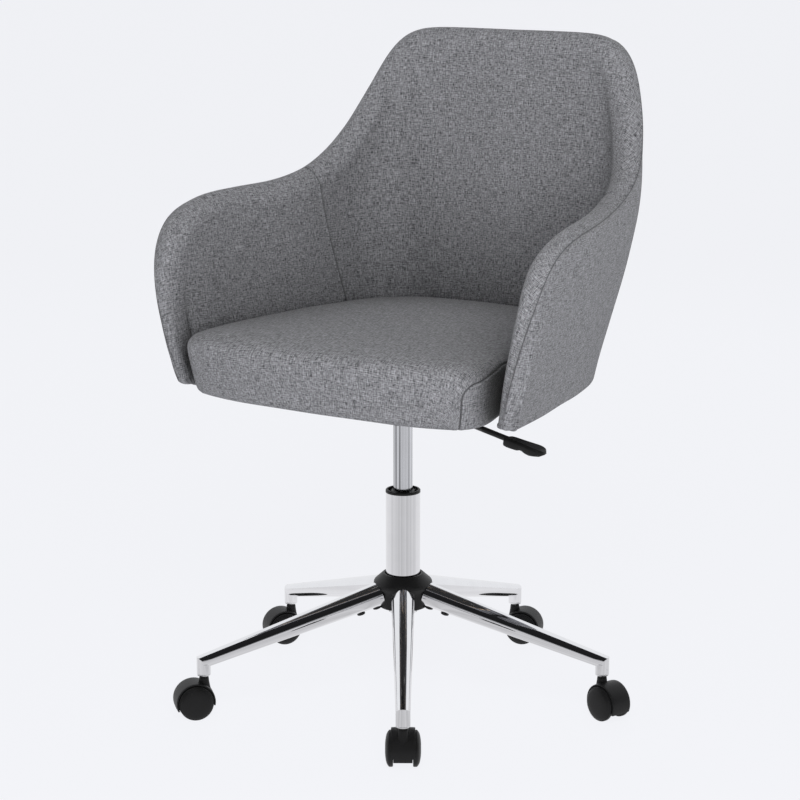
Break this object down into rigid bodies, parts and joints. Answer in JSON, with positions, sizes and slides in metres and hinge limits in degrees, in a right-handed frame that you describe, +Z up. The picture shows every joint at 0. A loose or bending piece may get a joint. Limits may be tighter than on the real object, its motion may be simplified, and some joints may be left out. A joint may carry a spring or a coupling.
{
  "type": "swivel office chair",
  "caption": "Swivel office chair with a padded wrap-around shell of arms and back, a height lever, a gas lift and a chrome star base on twin-wheel casters.",
  "frame": {"origin": "the floor under the gas lift's axis", "axes": "+Z up; the sitter faces -Y; the sitter's left is +X"},
  "size_m": [0.6589, 0.6055, 0.9545],
  "materials": {
    "grey_fabric": "mid-grey heather linen weave",
    "chrome": "mirror",
    "satin_steel": "bright satin",
    "zinc_steel": "zinc plated",
    "black_plastic": "moulded satin",
    "black_steel": "powder coat",
    "rubber": "matte",
    "plywood": "raw",
    "dust_cloth": "non-woven"
  },
  "bodies": {
    "base": {"base_hub": "black_plastic", "leg_1": "chrome", "leg_2": "chrome", "leg_3": "chrome", "leg_4": "chrome", "leg_5": "chrome", "leg_screws": "black_steel", "column_tube": "chrome", "guide_bush": "black_plastic", "column_collar": "black_plastic", "bearing_lower_race": "zinc_steel", "bearing_balls": "zinc_steel", "caster_stems": "black_steel", "grip_rings": "zinc_steel"},
    "spindle": {"piston_rod": "zinc_steel", "piston": "black_plastic", "bearing_upper_race": "zinc_steel", "retaining_clip": "zinc_steel", "rubber_stop": "rubber"},
    "seat": {"gas_cylinder": "satin_steel", "mechanism_housing": "black_steel", "mounting_plate": "black_steel", "plate_bolts": "zinc_steel", "t_nuts": "zinc_steel", "seat_board": "plywood", "dust_cover": "dust_cloth", "seat_cushion": "grey_fabric", "shell_frame": "plywood", "arm_padding_left": "grey_fabric", "back_padding": "grey_fabric", "arm_padding_right": "grey_fabric", "shell_straps": "black_steel", "strap_screws": "zinc_steel", "lever_pivot": "zinc_steel"},
    "lever": {"lever_rod": "black_steel", "lever_paddle": "black_plastic"},
    "release_pin": {"release_pin": "zinc_steel"},
    "caster_1": {"caster_body_1": "black_plastic", "axle_1": "zinc_steel"},
    "wheel_1_left": {"wheel_1_left": "black_plastic"},
    "wheel_1_right": {"wheel_1_right": "black_plastic"},
    "caster_2": {"caster_body_2": "black_plastic", "axle_2": "zinc_steel"},
    "wheel_2_left": {"wheel_2_left": "black_plastic"},
    "wheel_2_right": {"wheel_2_right": "black_plastic"},
    "caster_3": {"caster_body_3": "black_plastic", "axle_3": "zinc_steel"},
    "wheel_3_left": {"wheel_3_left": "black_plastic"},
    "wheel_3_right": {"wheel_3_right": "black_plastic"},
    "caster_4": {"caster_body_4": "black_plastic", "axle_4": "zinc_steel"},
    "wheel_4_left": {"wheel_4_left": "black_plastic"},
    "wheel_4_right": {"wheel_4_right": "black_plastic"},
    "caster_5": {"caster_body_5": "black_plastic", "axle_5": "zinc_steel"},
    "wheel_5_left": {"wheel_5_left": "black_plastic"},
    "wheel_5_right": {"wheel_5_right": "black_plastic"}
  },
  "joints": [
    {"name": "seat_swivel", "type": "hinge", "parent": "base", "child": "spindle", "pos_m": [0, 0, 0.1355], "axis": [0, 0, 1], "continuous": true},
    {"name": "seat_height", "type": "slide", "parent": "spindle", "child": "seat", "axis": [0, 0, 1], "range_m": [-0.09, 0]},
    {"name": "lever_lift", "type": "hinge", "parent": "seat", "child": "lever", "pos_m": [0.05, -0.0235, 0.447], "axis": [-0.4258, -0.9048, 0], "range_deg": [0, 4.5], "stiffness_Nm_per_rad": 2},
    {"name": "release_pin_press", "type": "slide", "parent": "seat", "child": "release_pin", "axis": [0, 0, 1], "range_m": [-0.0045, 0]},
    {"name": "caster_swivel_1", "type": "hinge", "parent": "base", "child": "caster_1", "pos_m": [0.16119, -0.25302, 0.05], "axis": [0, 0, 1], "continuous": true},
    {"name": "wheel_roll_1_left", "type": "hinge", "parent": "caster_1", "child": "wheel_1_left", "pos_m": [0.15351, -0.24072, 0.025], "axis": [-0.848, -0.5299, 0], "continuous": true},
    {"name": "wheel_roll_1_right", "type": "hinge", "parent": "caster_1", "child": "wheel_1_right", "pos_m": [0.15351, -0.24072, 0.025], "axis": [-0.848, -0.5299, 0], "continuous": true},
    {"name": "caster_swivel_2", "type": "hinge", "parent": "base", "child": "caster_2", "pos_m": [0.29044, 0.07511, 0.05], "axis": [0, 0, 1], "continuous": true},
    {"name": "wheel_roll_2_left", "type": "hinge", "parent": "caster_2", "child": "wheel_2_left", "pos_m": [0.30407, 0.07015, 0.025], "axis": [0.342, 0.9397, 0], "continuous": true},
    {"name": "wheel_roll_2_right", "type": "hinge", "parent": "caster_2", "child": "wheel_2_right", "pos_m": [0.30407, 0.07015, 0.025], "axis": [0.342, 0.9397, 0], "continuous": true},
    {"name": "caster_swivel_3", "type": "hinge", "parent": "base", "child": "caster_3", "pos_m": [0.01832, 0.29944, 0.05], "axis": [0, 0, 1], "continuous": true},
    {"name": "wheel_roll_3_left", "type": "hinge", "parent": "caster_3", "child": "wheel_3_left", "pos_m": [0.03232, 0.30319, 0.025], "axis": [-0.2588, 0.9659, 0], "continuous": true},
    {"name": "wheel_roll_3_right", "type": "hinge", "parent": "caster_3", "child": "wheel_3_right", "pos_m": [0.03232, 0.30319, 0.025], "axis": [-0.2588, 0.9659, 0], "continuous": true},
    {"name": "caster_swivel_4", "type": "hinge", "parent": "base", "child": "caster_4", "pos_m": [-0.27913, 0.10995, 0.05], "axis": [0, 0, 1], "continuous": true},
    {"name": "wheel_roll_4_left", "type": "hinge", "parent": "caster_4", "child": "wheel_4_left", "pos_m": [-0.28785, 0.09837, 0.025], "axis": [0.7986, -0.6018, 0], "continuous": true},
    {"name": "wheel_roll_4_right", "type": "hinge", "parent": "caster_4", "child": "wheel_4_right", "pos_m": [-0.28785, 0.09837, 0.025], "axis": [0.7986, -0.6018, 0], "continuous": true},
    {"name": "caster_swivel_5", "type": "hinge", "parent": "base", "child": "caster_5", "pos_m": [-0.19082, -0.23149, 0.05], "axis": [0, 0, 1], "continuous": true},
    {"name": "wheel_roll_5_left", "type": "hinge", "parent": "caster_5", "child": "wheel_5_left", "pos_m": [-0.20053, -0.24226, 0.025], "axis": [0.7431, -0.6691, 0], "continuous": true},
    {"name": "wheel_roll_5_right", "type": "hinge", "parent": "caster_5", "child": "wheel_5_right", "pos_m": [-0.20053, -0.24226, 0.025], "axis": [0.7431, -0.6691, 0], "continuous": true}
  ],
  "couplings": [
    {"joint": "release_pin_press", "follows": "lever_lift", "m_per_rad": -0.0552}
  ]
}
